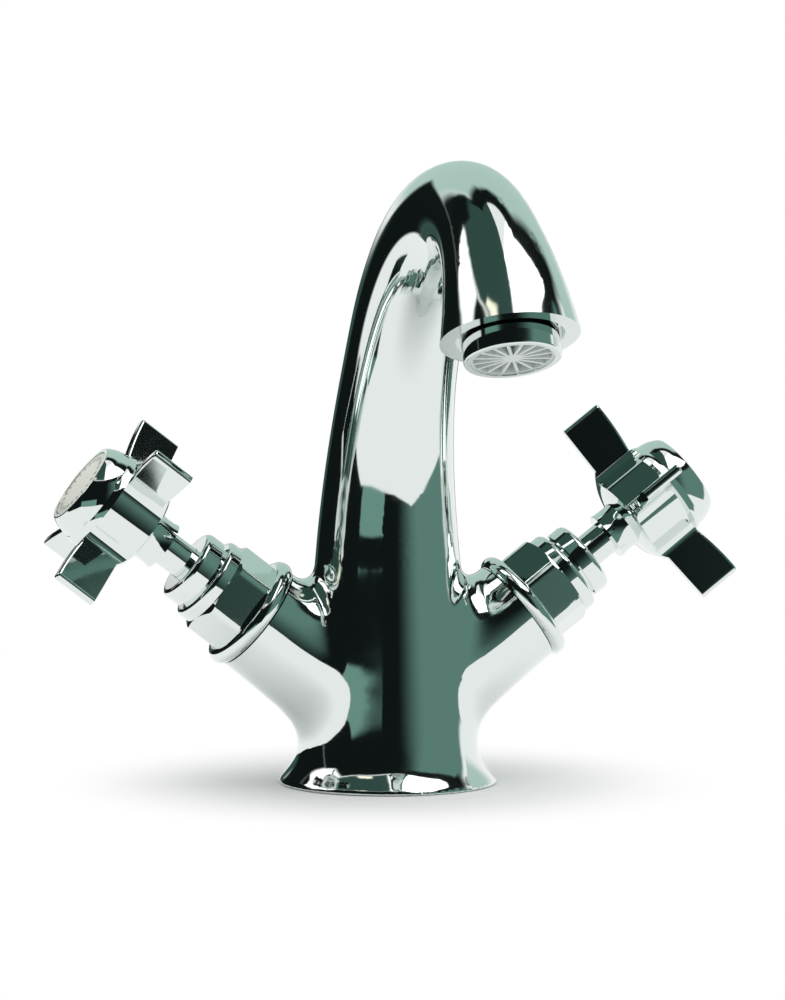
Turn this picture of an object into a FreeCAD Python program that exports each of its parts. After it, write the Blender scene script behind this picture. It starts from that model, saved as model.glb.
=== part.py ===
"""Basin mixer tap: a cast swan-neck body on a flared foot, with a cross handle on each of two raised valves.

Millimetres and degrees. +Z is up, the spout reaches towards -Y, the hot valve is on -X and the cold one on +X.
The origin is on the basin face, at the centre of the foot.
"""
import FreeCAD, Part
import Sketcher
import math
import os

from FreeCAD import Placement, Rotation, Vector

SIZES = {
    # foot
    "flange_radius": 27.5,
    "flange_lip": 1.3,
    "flange_height": 8.1,
    "flange_edge_round": 0.5,
    "flange_cove": 13.0,
    # column and neck
    "column_foot_radius": 22.6,
    "column_height": 49.9,
    "column_top_radius": 17.95,
    "neck_rise": 72.6,
    "neck_fall": 66.3,
    "neck_thin_radius": 11.5,
    "neck_wall": 3.2,
    "spout_reach": 108.4,
    "outlet_height": 114.8,
    "outlet_tilt": 23.6,
    "outlet_radius": 16.07,
    # arms that carry the valves
    "valve_height": 16.3,
    "valve_tilt": 37.7,
    "arm_root": 4.0,
    "arm_root_radius": 15.6,
    "arm_end_radius": 13.9,
    "arm_length": 42.3,
    # waterways
    "seat_distance": 24.0,
    "chamber_radius": 9.6,
    "seat_port_radius": 3.4,
    "seat_port_start": 10.5,
    "mixing_floor": 36.0,
    "mixing_radius": 10.0,
    "passage_radius": 3.5,
    "passage_height": 39.5,
    "passage_half_length": 16.0,
    "inlet_radius": 4.5,
    "inlet_depth": 14.0,
    "inlet_offset": 9.5,
    "inlet_drill_radius": 3.2,
    "inlet_drill_top": 23.6,
    "stud_radius": 3.4,
    "stud_depth": 18.0,
    "stud_offset": 12.0,
    "hole_mouth": 0.6,
    # clearances
    "thread_clearance": 0.05,
    "running_clearance": 0.05,
    "loose_clearance": 0.1,
    "film": 0.03,
    # seal under the foot
    "foot_seal_radius": 23.7,
    "foot_seal_width": 2.2,
    "foot_seal_height": 1.9,
    # aerator
    "aerator_thread_radius": 11.0,
    "aerator_thread_length": 7.0,
    "aerator_radius": 11.2,
    "aerator_reach": 5.35,
    "aerator_bore": 10.0,
    "aerator_lip": 0.4,
    "aerator_lip_height": 0.5,
    "aerator_edge_round": 0.5,
    "aerator_recess_radius": 12.5,
    "aerator_recess_depth": 1.6,
    "aerator_throat_radius": 8.4,
    "aerator_throat_length": 18.0,
    "aerator_washer_thickness": 1.6,
    "insert_height": 5.0,
    "insert_rim": 0.9,
    "insert_hub_radius": 2.0,
    "insert_rib": 0.7,
    "screen_thickness": 0.5,
    "screen_hole_radius": 0.75,
    # bead ring between the arm and the bonnet
    "bead_radius": 15.0,
    "bead_thickness": 4.4,
    "bead_seal_section": 0.8,
    # bonnet
    "bonnet_foot_gap": 0.5,
    "bonnet_tube_radius": 8.3,
    "bonnet_cavity_radius": 7.2,
    "bonnet_thread_radius": 10.4,
    "bonnet_thread_length": 6.5,
    "bonnet_hex_flats": 22.0,
    "bonnet_hex_height": 9.3,
    "bonnet_hex_chamfer": 1.2,
    "bonnet_shoulder_radius": 11.0,
    "bonnet_shoulder_height": 3.4,
    "bonnet_shoulder_round": 1.2,
    "bonnet_groove_radius": 8.4,
    "bonnet_groove_height": 1.1,
    "bonnet_spigot_radius": 7.0,
    "bonnet_spigot_height": 2.2,
    "bonnet_window_width": 7.0,
    # gland nut
    "gland_radius": 9.4,
    "gland_height": 4.7,
    "gland_roof": 1.4,
    "gland_round": 1.4,
    # ceramic discs and their seal
    "seal_radius": 6.9,
    "seal_bore": 4.6,
    "seal_thickness": 1.6,
    "disc_thickness": 2.8,
    "disc_radius": 7.1,
    "disc_port_inner": 2.7,
    "disc_port_outer": 5.8,
    "disc_port_angle": 60.0,
    # spindle
    "spindle_radius": 4.3,
    "spindle_show": 7.1,
    "spindle_head_radius": 5.4,
    "spindle_head_height": 3.2,
    "tongue_length": 9.6,
    "tongue_width": 3.0,
    "tongue_depth": 1.2,
    "stop_lug_width": 3.6,
    "stop_lug_reach": 6.8,
    "stop_rib_width": 3.0,
    "stop_rib_reach": 5.75,
    "stop_spare_angle": 1.2,
    "handle_travel_angle": 90.0,
    "friction_washer_thickness": 0.6,
    "friction_washer_radius": 5.3,
    "oring_groove_radius": 3.3,
    "oring_groove_width": 1.5,
    "oring_first": 9.0,
    "oring_pitch": 4.0,
    "circlip_groove_radius": 3.6,
    "circlip_thickness": 0.7,
    "circlip_radius": 5.6,
    "circlip_opening": 4.0,
    "spline_radius": 3.6,
    "spline_length": 10.5,
    "spindle_end_chamfer": 0.4,
    # handle
    "boss_end_radius": 6.3,
    "boss_top_radius": 6.2,
    "boss_height": 5.3,
    "boss_waist_bow": 14.0,
    "bowl_rise": 3.3,
    "bowl_radius": 14.3,
    "bowl_bow": 15.0,
    "blade_tip_radius": 27.6,
    "blade_tip_width": 11.25,
    "blade_tip_lift": 0.45,
    "blade_thickness": 2.6,
    "blade_edge_bow": 70.0,
    "blade_tip_round": 1.1,
    "blade_edge_round": 0.6,
    "blade_root_round": 3.2,
    "barrel_radius": 11.2,
    "collar_radius": 13.1,
    "collar_height": 13.6,
    "hub_height": 15.4,
    "hub_top_radius": 12.4,
    "hub_brow_bow": 6.0,
    "hot_blade_angle": 34.4,
    "cold_blade_angle": 71.9,
    "socket_web": 2.0,
    "screw_pocket_radius": 6.4,
    # index cap
    "cap_thread_radius": 7.9,
    "cap_thread_length": 4.5,
    "cap_bore": 6.5,
    "cap_foot_radius": 12.3,
    "cap_front_radius": 10.5,
    "cap_height": 5.4,
    "cap_side_bow": 9.0,
    "cap_lip": 1.0,
    "cap_front_round": 0.35,
    "index_thickness": 1.3,
    "index_recess": 0.15,
    "index_edge_round": 0.3,
    # handle screw
    "screw_radius": 1.95,
    "screw_length": 9.0,
    "screw_head_radius": 3.6,
    "screw_head_height": 2.6,
    "screw_slot_width": 1.0,
    "screw_slot_depth": 1.2,
    # cuts that break through a face run on by this much
    "overrun": 2.0,
}

# Where the neck's round sections stand along its centre line, and how much of the taper is left at each.
# Up to the thinnest section the taper runs from the column's top, and beyond it to the flared outlet.
TAPER_SHARES = [
    (0.0, 1.0), (0.03, 0.91), (0.06, 0.82), (0.12, 0.651), (0.185, 0.499), (0.25, 0.398), (0.325, 0.357),
    (0.4, 0.32), (0.475, 0.265), (0.55, 0.19), (0.625, 0.1), (0.7, 0.025), (0.775, 0.0),
]
FLARE_SHARES = [(0.85, 0.125), (0.925, 0.48), (1.0, 1.0)]
WATERWAY_END_SHARE = 0.925

# The blend of an arm into the column. In the crotch it is a share of the gap beside the arm's end and of the
# column's rise above it, underneath a share of the column's drop to the foot and of the arm's own radius, and on
# the arm's flanks a share of that radius.
CROTCH_GAP_SHARE = 0.57
CROTCH_RISE_SHARE = 0.4
UNDERSIDE_DROP_SHARE = 1.77
UNDERSIDE_ARM_SHARE = 0.72
FLANK_ARM_SHARE = 1.1

# How much of the flange's straight lip its brow takes up when it is rounded
BROW_SHARE = 0.8

INSERT_RIBS = 16
SCREEN_RINGS_SHARES = [(6, 0.28), (12, 0.56), (18, 0.84)]
BLADES = 4

# Edges closer than this to where one is looked for are that edge
NEAR = 1e-4

doc = FreeCAD.newDocument("basin_mixer_tap")
sheet = doc.addObject("Spreadsheet::Sheet", "Sizes")
for row, (alias, number) in enumerate(SIZES.items(), start=1):
    sheet.set(f"A{row}", alias)
    sheet.set(f"B{row}", str(number))
    sheet.setAlias(f"B{row}", alias)
doc.recompute()


class Size:
    """A length or angle kept as a spreadsheet expression together with its present value."""

    def __init__(self, text, value):
        self.text = text
        self.value = value

    @staticmethod
    def of(other):
        return other if isinstance(other, Size) else Size(repr(other), float(other))

    def join(self, sign, other, value):
        return Size(f"({self.text} {sign} {other.text})", value)

    def __add__(self, other):
        other = Size.of(other)
        return self.join("+", other, self.value + other.value)

    def __sub__(self, other):
        other = Size.of(other)
        return self.join("-", other, self.value - other.value)

    def __mul__(self, other):
        other = Size.of(other)
        return self.join("*", other, self.value * other.value)

    def __truediv__(self, other):
        other = Size.of(other)
        return self.join("/", other, self.value / other.value)

    def __rmul__(self, other):
        return Size.of(other) * self

    def __rsub__(self, other):
        return Size.of(other) - self

    def __neg__(self):
        return Size(f"(-1 * {self.text})", -self.value)


def named(alias):
    """The named size, read from the sheet and tied to its cell."""
    return Size(f"Sizes.{alias}", float(sheet.get(alias)))


def cosine(angle):
    return Size(f"cos({angle.text})", math.cos(math.radians(angle.value)))


def sine(angle):
    return Size(f"sin({angle.text})", math.sin(math.radians(angle.value)))


def arcsine(ratio):
    return Size(f"(asin({ratio.text}) / 1 deg)", math.degrees(math.asin(ratio.value)))


def root(square):
    return Size(f"sqrt({square.text})", math.sqrt(square.value))


def bearing(sideways, forwards):
    """The angle whose tangent is sideways over forwards, in the right quadrant."""
    value = math.degrees(math.atan2(sideways.value, forwards.value))
    return Size(f"(atan2({sideways.text}; {forwards.text}) / 1 deg)", value)


def bind(item, **sizes):
    for name, size in sizes.items():
        item.setExpression(name, Size.of(size).text)


def place(item, x=0.0, y=0.0, z=0.0, axis=Vector(0, 0, 1), turn=0.0, prop="Placement"):
    """Puts an object at x, y, z, turned about the given axis, with all of it tied to the sheet."""
    x, y, z, turn = Size.of(x), Size.of(y), Size.of(z), Size.of(turn)
    setattr(item, prop, Placement(Vector(x.value, y.value, z.value), Rotation(axis, turn.value or 1.0)))
    item.setExpression(f"{prop}.Base.x", x.text)
    item.setExpression(f"{prop}.Base.y", y.text)
    item.setExpression(f"{prop}.Base.z", z.text)
    item.setExpression(f"{prop}.Rotation.Angle", turn.text)


# Sketched pieces

def new_body(label):
    body = doc.addObject("PartDesign::Body", label)
    body.Label = label
    return body


def origin_plane(body, role):
    return next(item for item in body.Origin.OriginFeatures if item.Role == role)


def outline(body, plane, points, lift=0.0, turn=0.0):
    """A closed sketch on one of the body's origin planes.

    Each point is (x, y) or (x, y, bow): bow is the radius of an arc from there to the next point, positive when
    the arc turns to the left as it goes.
    """
    sketch = body.newObject("Sketcher::SketchObject", f"{body.Label}_outline")
    sketch.AttachmentSupport = [(origin_plane(body, plane), "")]
    sketch.MapMode = "FlatFace"
    place(sketch, z=lift, turn=turn, prop="AttachmentOffset")
    corners = [(Size.of(p[0]), Size.of(p[1])) for p in points]
    spots = [Vector(x.value, y.value, 0) for x, y in corners]
    heads = []
    tails = []
    for index, point in enumerate(points):
        start = spots[index]
        end = spots[(index + 1) % len(spots)]
        if len(point) < 3:
            sketch.addGeometry(Part.LineSegment(start, end), False)
            heads.append(1)
            tails.append(2)
            continue
        bow = Size.of(point[2])
        radius = abs(bow.value)
        chord = end - start
        left = Vector(-chord.y, chord.x, 0).normalize()
        sag = math.sqrt(max(radius ** 2 - (chord.Length / 2) ** 2, 0.0))
        centre = (start + end) / 2 + left * math.copysign(sag, bow.value)
        circle = Part.Circle(centre, Vector(0, 0, 1), radius)
        ends = (start, end) if bow.value > 0 else (end, start)
        angles = [math.atan2(p.y - centre.y, p.x - centre.x) for p in ends]
        sketch.addGeometry(Part.ArcOfCircle(circle, angles[0], angles[1]), False)
        heads.append(1 if bow.value > 0 else 2)
        tails.append(2 if bow.value > 0 else 1)
    for index, (x, y) in enumerate(corners):
        following = (index + 1) % len(points)
        sketch.addConstraint(Sketcher.Constraint("Coincident", index, tails[index], following, heads[following]))
        for kind, line, size in (("DistanceX", -2, x), ("DistanceY", -1, y)):
            if size.text == "0.0" or size.text == "0":
                sketch.addConstraint(Sketcher.Constraint("PointOnObject", index, heads[index], line))
                continue
            row = sketch.addConstraint(Sketcher.Constraint(kind, -1, 1, index, heads[index], size.value))
            sketch.setExpression(f"Constraints[{row}]", size.text)
        if len(points[index]) == 3:
            bow = Size.of(points[index][2])
            size = bow if bow.value > 0 else -bow
            row = sketch.addConstraint(Sketcher.Constraint("Radius", index, size.value))
            sketch.setExpression(f"Constraints[{row}]", size.text)
    return sketch


def rectangle(width, height):
    """Corners of a rectangle centred on the sketch's origin."""
    right = width / 2
    top = height / 2
    return [(-right, -top), (right, -top), (right, top), (-right, top)]


def turned(body, points):
    """Adds a solid of revolution about the body's Z axis, from a half profile of (radius, height)."""
    sketch = outline(body, "XZ_Plane", points)
    turning = body.newObject("PartDesign::Revolution", f"{body.Label}_turning")
    turning.Profile = sketch
    turning.ReferenceAxis = (sketch, ["V_Axis"])
    turning.Angle = 360
    return turning


def grooved(body, points):
    """Takes away a solid of revolution about the body's Z axis."""
    sketch = outline(body, "XZ_Plane", points)
    groove = body.newObject("PartDesign::Groove", f"{body.Label}_groove")
    groove.Profile = sketch
    groove.ReferenceAxis = (sketch, ["V_Axis"])
    groove.Angle = 360
    return groove


def padded(body, points, length, lift=0.0, turn=0.0):
    sketch = outline(body, "XY_Plane", points, lift, turn)
    pad = body.newObject("PartDesign::Pad", f"{body.Label}_pad")
    pad.Profile = sketch
    bind(pad, Length=length)
    return pad


def pocketed(body, points, depth, lift=0.0, turn=0.0, plane="XY_Plane"):
    """Cuts upwards from a sketch that stands at the given height."""
    sketch = outline(body, plane, points, lift, turn)
    pocket = body.newObject("PartDesign::Pocket", f"{body.Label}_pocket")
    pocket.Profile = sketch
    pocket.Reversed = True
    bind(pocket, Length=depth)
    return pocket


def patterned(body, feature, count):
    """Repeats a feature evenly about the body's Z axis."""
    pattern = body.newObject("PartDesign::PolarPattern", f"{body.Label}_pattern")
    pattern.Originals = [feature]
    pattern.Axis = (feature.Profile[0], ["N_Axis"])
    pattern.Angle = 360
    pattern.Occurrences = count
    body.Tip = pattern
    return pattern


def ring_edges(shape, radius, height):
    """Names of the circular edges of that radius about the Z axis at that height."""
    found = []
    for number, edge in enumerate(shape.Edges, start=1):
        curve = edge.Curve
        if not isinstance(curve, Part.Circle) or abs(curve.Radius - radius) > NEAR:
            continue
        if curve.Center.distanceToPoint(Vector(0, 0, height)) < NEAR:
            found.append(f"Edge{number}")
    return found



def rounded(body, radius, places):
    """Rounds the ring edges at the given (radius, height) places."""
    doc.recompute()
    tip = body.Tip
    shape = tip.Shape.copy()
    edges = []
    for ring_radius, height in places:
        edges += ring_edges(shape, Size.of(ring_radius).value, Size.of(height).value)
    fillet = body.newObject("PartDesign::Fillet", f"{body.Label}_round")
    fillet.Base = (tip, edges)
    bind(fillet, Radius=radius)
    return fillet


# Places along a valve, from the point where both valve axes cross the tap's own axis

overrun = named("overrun")
film = named("film")
running = named("running_clearance")
loose = named("loose_clearance")
threads = named("thread_clearance")
valve_tilt = named("valve_tilt")
valve_lean = 90 - valve_tilt

seat_at = named("seat_distance")
fixed_disc_at = seat_at + named("seal_thickness")
moving_disc_at = fixed_disc_at + named("disc_thickness") + film
head_at = moving_disc_at + named("disc_thickness") + film
friction_washer_at = head_at + named("spindle_head_height")
ceiling_at = friction_washer_at + named("friction_washer_thickness") + film
bonnet_foot_at = seat_at + named("bonnet_foot_gap")
thread_at = named("arm_length") - named("bonnet_thread_length")
bead_at = named("arm_length")
hex_at = bead_at + named("bead_thickness")
shoulder_at = hex_at + named("bonnet_hex_height")
groove_at = shoulder_at + named("bonnet_shoulder_height")
gland_at = groove_at + named("bonnet_groove_height")
circlip_at = gland_at + named("bonnet_spigot_height") + film
gland_top_at = gland_at + named("gland_height")
handle_at = gland_top_at + named("spindle_show")
hub_top_at = handle_at + named("boss_height") + named("hub_height")
spline_top_at = handle_at + named("spline_length")
screw_seat_at = spline_top_at + loose + named("socket_web")
cap_foot_at = hub_top_at - named("cap_thread_length")
index_at = hub_top_at + named("cap_height") - named("index_recess") - named("index_thickness")


def on_valve(item, side, distance):
    """Stands an object on a valve's axis, its Z pointing outwards along it."""
    reach = distance * cosine(valve_tilt)
    height = named("valve_height") + distance * sine(valve_tilt)
    place(item, x=reach * side, z=height, axis=Vector(0, 1, 0), turn=valve_lean * side)


# The cast body

def neck_station(share):
    """Forward reach, height and lean of the neck's centre line, a cubic curve from the column to the outlet."""
    start = named("flange_height") + named("column_height")
    rise = named("neck_rise")
    fall = named("neck_fall")
    tilt = named("outlet_tilt")
    bend = named("spout_reach") - fall * sine(tilt)
    crest = named("outlet_height") + fall * cosine(tilt)
    rest = 1 - share
    forward = 3 * share ** 2 * rest * bend + share ** 3 * named("spout_reach")
    height = (rest ** 3 * start + 3 * share * rest ** 2 * (start + rise) + 3 * share ** 2 * rest * crest
              + share ** 3 * named("outlet_height"))
    run = 6 * share * rest * bend + 3 * share ** 2 * (named("spout_reach") - bend)
    climb = (3 * rest ** 2 * rise + 6 * share * rest * (crest - start - rise)
             + 3 * share ** 2 * (named("outlet_height") - crest))
    return forward, height, bearing(run, climb)


def neck_sections(inset, last):
    """Circles across the neck, each smaller than the outside by the inset."""
    thin = named("neck_thin_radius")
    widths = [(share, thin + left * (named("column_top_radius") - thin)) for share, left in TAPER_SHARES]
    widths += [(share, thin + grown * (named("outlet_radius") - thin)) for share, grown in FLARE_SHARES]
    circles = []
    for share, radius in widths:
        if share > last:
            continue
        circle = doc.addObject("Part::Circle", "neck_section")
        bind(circle, Radius=radius - inset)
        forward, height, lean = neck_station(share)
        place(circle, y=-forward, z=height, axis=Vector(1, 0, 0), turn=lean)
        circles.append(circle)
    return circles


def lofted(sections):
    loft = doc.addObject("Part::Loft", "neck_loft")
    loft.Sections = sections
    loft.Solid = True
    loft.Ruled = False
    return loft


def cylinder(radius, height):
    rod = doc.addObject("Part::Cylinder", "rod")
    bind(rod, Radius=radius, Height=height)
    return rod


def cone(foot_radius, top_radius, height):
    taper = doc.addObject("Part::Cone", "taper")
    bind(taper, Radius1=foot_radius, Radius2=top_radius, Height=height)
    return taper


def fused(items):
    union = doc.addObject("Part::MultiFuse", "union")
    union.Shapes = items
    return union


def mirrored(item, height=0.0, x=0.0, y=0.0, z=0.0):
    """The same piece beyond a plane that is square to x, y, z and crosses the middle of the tap at that height."""
    copy = doc.addObject("Part::Mirroring", "mirrored")
    copy.Source = item
    sizes = {"Base.z": height, "Normal.x": x, "Normal.y": y, "Normal.z": z}
    copy.Normal = Vector(*(Size.of(size).value for size in (x, y, z)))
    for part, size in sizes.items():
        copy.setExpression(part, Size.of(size).text)
    return copy


def foot_flange():
    """The foot's flange, a lip with a hollow cove that sweeps up into the column."""
    body = new_body("foot_flange")
    radius = named("flange_radius")
    lip = named("flange_lip")
    height = named("flange_height")
    cove = named("flange_cove")
    inwards = radius - named("column_foot_radius")
    upwards = height - lip
    turned(body, [(0, 0), (radius, 0), (radius, lip, -cove), (named("column_foot_radius"), height), (0, height)])
    rounded(body, named("flange_edge_round"), [(radius, 0)])
    chord = root(inwards * inwards + upwards * upwards)
    half_turn = (bearing(inwards, upwards) + arcsine(chord / (2 * cove))) / 2
    straight = lip - named("flange_edge_round")
    rounded(body, BROW_SHARE * straight * cosine(half_turn) / sine(half_turn), [(radius, lip)])
    return body


def arm_quarters(side):
    """An arm in four lengths, so that its root has an edge from the crotch and the underside to each flank."""
    lower = cone(named("arm_root_radius"), named("arm_end_radius"), named("arm_length") - named("arm_root"))
    lower.Angle = 90
    on_valve(lower, side, named("arm_root"))
    upper = mirrored(lower, named("valve_height"), x=-side * sine(valve_tilt), z=cosine(valve_tilt))
    return [lower, upper, mirrored(lower, y=1.0), mirrored(upper, y=1.0)]


def blended_roots(base):
    """Rounds the arms into the column, tightly in the crotch, more broadly underneath and most on the flanks.

    A root is one closed run of four edges, so all its radii are given in the direction of its first edge.
    """
    doc.recompute()
    arm_end = named("arm_length") * cosine(valve_tilt) - named("arm_end_radius") * sine(valve_tilt)
    column_top = named("flange_height") + named("column_height")
    flank = FLANK_ARM_SHARE * named("arm_root_radius").value
    rows = []
    senses = {}
    for number, edge in enumerate(base.Shape.Edges, start=1):
        ends = [edge.firstVertex().Point, edge.lastVertex().Point]
        middles = [end for end in ends if abs(end.y) < NEAR]
        side = math.copysign(1, ends[0].x + ends[1].x)
        lifts = [end.z - named("valve_height").value for end in ends]
        along = [side * end.x * cosine(valve_tilt).value + lift * sine(valve_tilt).value
                 for end, lift in zip(ends, lifts)]
        above = [lift * cosine(valve_tilt).value - side * end.x * sine(valve_tilt).value
                 for end, lift in zip(ends, lifts)]
        if len(middles) != 1 or min(along) < named("arm_root").value + NEAR:
            continue
        if max(along) > named("arm_length").value - NEAR:
            continue
        radii = []
        for end in ends:
            if end is not middles[0]:
                radii.append(flank)
            elif end.z == max(end.z for end in ends):
                gap = arm_end.value - abs(end.x)
                radii.append(min(CROTCH_GAP_SHARE * gap, CROTCH_RISE_SHARE * (column_top.value - end.z)))
            else:
                radii.append(min(UNDERSIDE_DROP_SHARE * (end.z - named("flange_height").value),
                                 UNDERSIDE_ARM_SHARE * named("arm_root_radius").value))
        sense = math.copysign(1, above[0] * ends[1].y - above[1] * ends[0].y)
        if sense != senses.setdefault(side, sense):
            radii.reverse()
        rows.append((number, radii[0], radii[1]))
    fillet = doc.addObject("Part::Fillet", "arm_roots")
    fillet.Base = base
    fillet.Edges = rows
    return fillet


def on_outlet(item, inwards):
    """Stands an object on the outlet's axis, its Z pointing out of the spout, from a point that far inside."""
    tilt = named("outlet_tilt")
    forward = named("spout_reach") - inwards * sine(tilt)
    height = named("outlet_height") + inwards * cosine(tilt)
    place(item, y=-forward, z=height, axis=Vector(1, 0, 0), turn=180 - tilt)


def body_cores():
    """Everything hollow in the casting: waterways, valve chambers, inlets, the stud's hole and the outlet."""
    cores = [lofted(neck_sections(named("neck_wall"), WATERWAY_END_SHARE))]
    column_top = named("flange_height") + named("column_height")
    mixing = cone(named("mixing_radius"), named("column_top_radius") - named("neck_wall"),
                  column_top - named("mixing_floor"))
    place(mixing, z=named("mixing_floor"))
    cores.append(mixing)
    passage = cylinder(named("passage_radius"), 2 * named("passage_half_length"))
    place(passage, x=-named("passage_half_length"), z=named("passage_height"), axis=Vector(0, 1, 0), turn=90)
    cores.append(passage)
    for side in SIDES.values():
        chamber = cylinder(named("chamber_radius"), thread_at - seat_at)
        on_valve(chamber, side, seat_at)
        thread = cylinder(named("bonnet_thread_radius"), named("bonnet_thread_length") + overrun)
        on_valve(thread, side, thread_at)
        port = cylinder(named("seat_port_radius"), seat_at + film - named("seat_port_start"))
        on_valve(port, side, named("seat_port_start"))
        inlet = cylinder(named("inlet_radius"), named("inlet_depth") + overrun)
        place(inlet, x=named("inlet_offset") * side, z=-overrun)
        mouth = cone(named("inlet_radius") + named("hole_mouth"), named("inlet_radius"), named("hole_mouth"))
        place(mouth, x=named("inlet_offset") * side)
        drill = cylinder(named("inlet_drill_radius"), named("inlet_drill_top"))
        place(drill, x=named("inlet_offset") * side)
        cores += [chamber, thread, port, inlet, mouth, drill]
    stud = cylinder(named("stud_radius"), named("stud_depth") + overrun)
    place(stud, y=named("stud_offset"), z=-overrun)
    stud_mouth = cone(named("stud_radius") + named("hole_mouth"), named("stud_radius"), named("hole_mouth"))
    place(stud_mouth, y=named("stud_offset"))
    socket_depth = named("aerator_thread_length") + named("aerator_washer_thickness")
    socket = cylinder(named("aerator_thread_radius"), socket_depth + overrun)
    on_outlet(socket, socket_depth)
    recess = cylinder(named("aerator_recess_radius"), named("aerator_recess_depth") + overrun)
    on_outlet(recess, named("aerator_recess_depth"))
    throat = cylinder(named("aerator_throat_radius"), named("aerator_throat_length"))
    on_outlet(throat, named("aerator_throat_length"))
    half_width = named("foot_seal_width") / 2
    seal_outer = cylinder(named("foot_seal_radius") + half_width + loose, named("foot_seal_height") + overrun)
    place(seal_outer, z=-overrun)
    seal_inner = cylinder(named("foot_seal_radius") - half_width - loose, named("foot_seal_height") + 2 * overrun)
    place(seal_inner, z=-2 * overrun)
    seal_groove = doc.addObject("Part::Cut", "seal_groove")
    seal_groove.Base = seal_outer
    seal_groove.Tool = seal_inner
    return cores + [stud, stud_mouth, socket, recess, throat, seal_groove]


def tap_body():
    """The one-piece casting: foot, column, arms and swan neck, with its waterways."""
    column = cone(named("column_foot_radius"), named("column_top_radius"), named("column_height"))
    place(column, z=named("flange_height"))
    arms = [quarter for side in SIDES.values() for quarter in arm_quarters(side)]
    trunk = blended_roots(fused([column] + arms))
    outside = fused([foot_flange(), trunk, lofted(neck_sections(Size.of(0), 1.0))])
    casting = doc.addObject("Part::Cut", "tap_body")
    casting.Label = "tap_body"
    casting.Base = outside
    casting.Tool = fused(body_cores())
    return casting


def foot_seal():
    body = new_body("foot_seal")
    inner = named("foot_seal_radius") - named("foot_seal_width") / 2
    outer = named("foot_seal_radius") + named("foot_seal_width") / 2
    height = named("foot_seal_height")
    turned(body, [(inner, 0), (outer, 0), (outer, height), (inner, height)])
    return body


# The aerator in the spout's end

def aerator_housing():
    body = new_body("aerator_housing")
    thread = named("aerator_thread_radius") - threads
    radius = named("aerator_radius")
    bore = named("aerator_bore")
    shoulder = named("aerator_thread_length") - named("aerator_recess_depth") / 2
    length = named("aerator_thread_length") + named("aerator_reach")
    lip = length - named("aerator_lip_height")
    mouth = bore - named("aerator_lip")
    turned(body, [(bore, 0), (thread, 0), (thread, shoulder), (radius, shoulder), (radius, length),
                  (mouth, length), (mouth, lip), (bore, lip)])
    rounded(body, named("aerator_edge_round"), [(radius, length)])
    on_outlet(body, named("aerator_thread_length"))
    return body


def insert_inwards():
    """How far inside the rim the insert's upper end lies."""
    return named("aerator_lip_height") + named("insert_height") - named("aerator_reach")


def aerator_insert():
    """Plastic star: a rim and a hub joined by thin ribs."""
    body = new_body("aerator_insert")
    rim = named("aerator_bore") - loose
    inside = rim - named("insert_rim")
    hub = named("insert_hub_radius")
    height = named("insert_height")
    turned(body, [(inside, 0), (rim, 0), (rim, height), (inside, height)])
    half_rib = named("insert_rib") / 2
    rib_end = inside + named("insert_rim") / 2
    rib = padded(body, [(0, -half_rib), (rib_end, -half_rib), (rib_end, half_rib), (0, half_rib)], height)
    patterned(body, rib, INSERT_RIBS)
    turned(body, [(0, 0), (hub, 0), (hub, height), (0, height)])
    on_outlet(body, insert_inwards())
    return body


def aerator_screen():
    """Perforated disc that breaks up the stream above the insert."""
    body = new_body("aerator_screen")
    rim = named("aerator_bore") - loose
    thickness = named("screen_thickness")
    turned(body, [(0, 0), (rim, 0), (rim, thickness), (0, thickness)])
    hole = named("screen_hole_radius")
    for count, share in SCREEN_RINGS_SHARES:
        ring = share * rim
        square = rectangle(2 * hole, 2 * hole)
        shifted = [(x + ring, y) for x, y in square]
        cut = pocketed(body, shifted, thickness)
        patterned(body, cut, count)
    on_outlet(body, insert_inwards() + thickness)
    return body


def aerator_washer():
    body = new_body("aerator_washer")
    inner = named("aerator_throat_radius")
    outer = named("aerator_thread_radius") - loose
    height = named("aerator_washer_thickness")
    turned(body, [(inner, 0), (outer, 0), (outer, height), (inner, height)])
    on_outlet(body, named("aerator_thread_length") + height)
    return body


# The fixed pieces of each valve

def seat_seal(name, side):
    body = new_body(f"{name}_seat_seal")
    inner = named("seal_bore")
    outer = named("seal_radius")
    height = named("seal_thickness")
    turned(body, [(inner, 0), (outer, 0), (outer, height), (inner, height)])
    on_valve(body, side, seat_at)
    return body


def disc_ports(body, turn):
    """Two opposite ports, each a slice of a ring."""
    inner = named("disc_port_inner")
    outer = named("disc_port_outer")
    angle = named("disc_port_angle")
    points = [(inner, 0), (outer, 0, outer), (outer * cosine(angle), outer * sine(angle)),
              (inner * cosine(angle), inner * sine(angle), -inner)]
    port = pocketed(body, points, named("disc_thickness"), turn=turn - angle / 2)
    patterned(body, port, 2)


def fixed_disc(name, side):
    body = new_body(f"{name}_fixed_disc")
    radius = named("disc_radius")
    height = named("disc_thickness")
    turned(body, [(0, 0), (radius, 0), (radius, height), (0, height)])
    disc_ports(body, Size.of(0))
    on_valve(body, side, fixed_disc_at)
    return body


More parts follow.
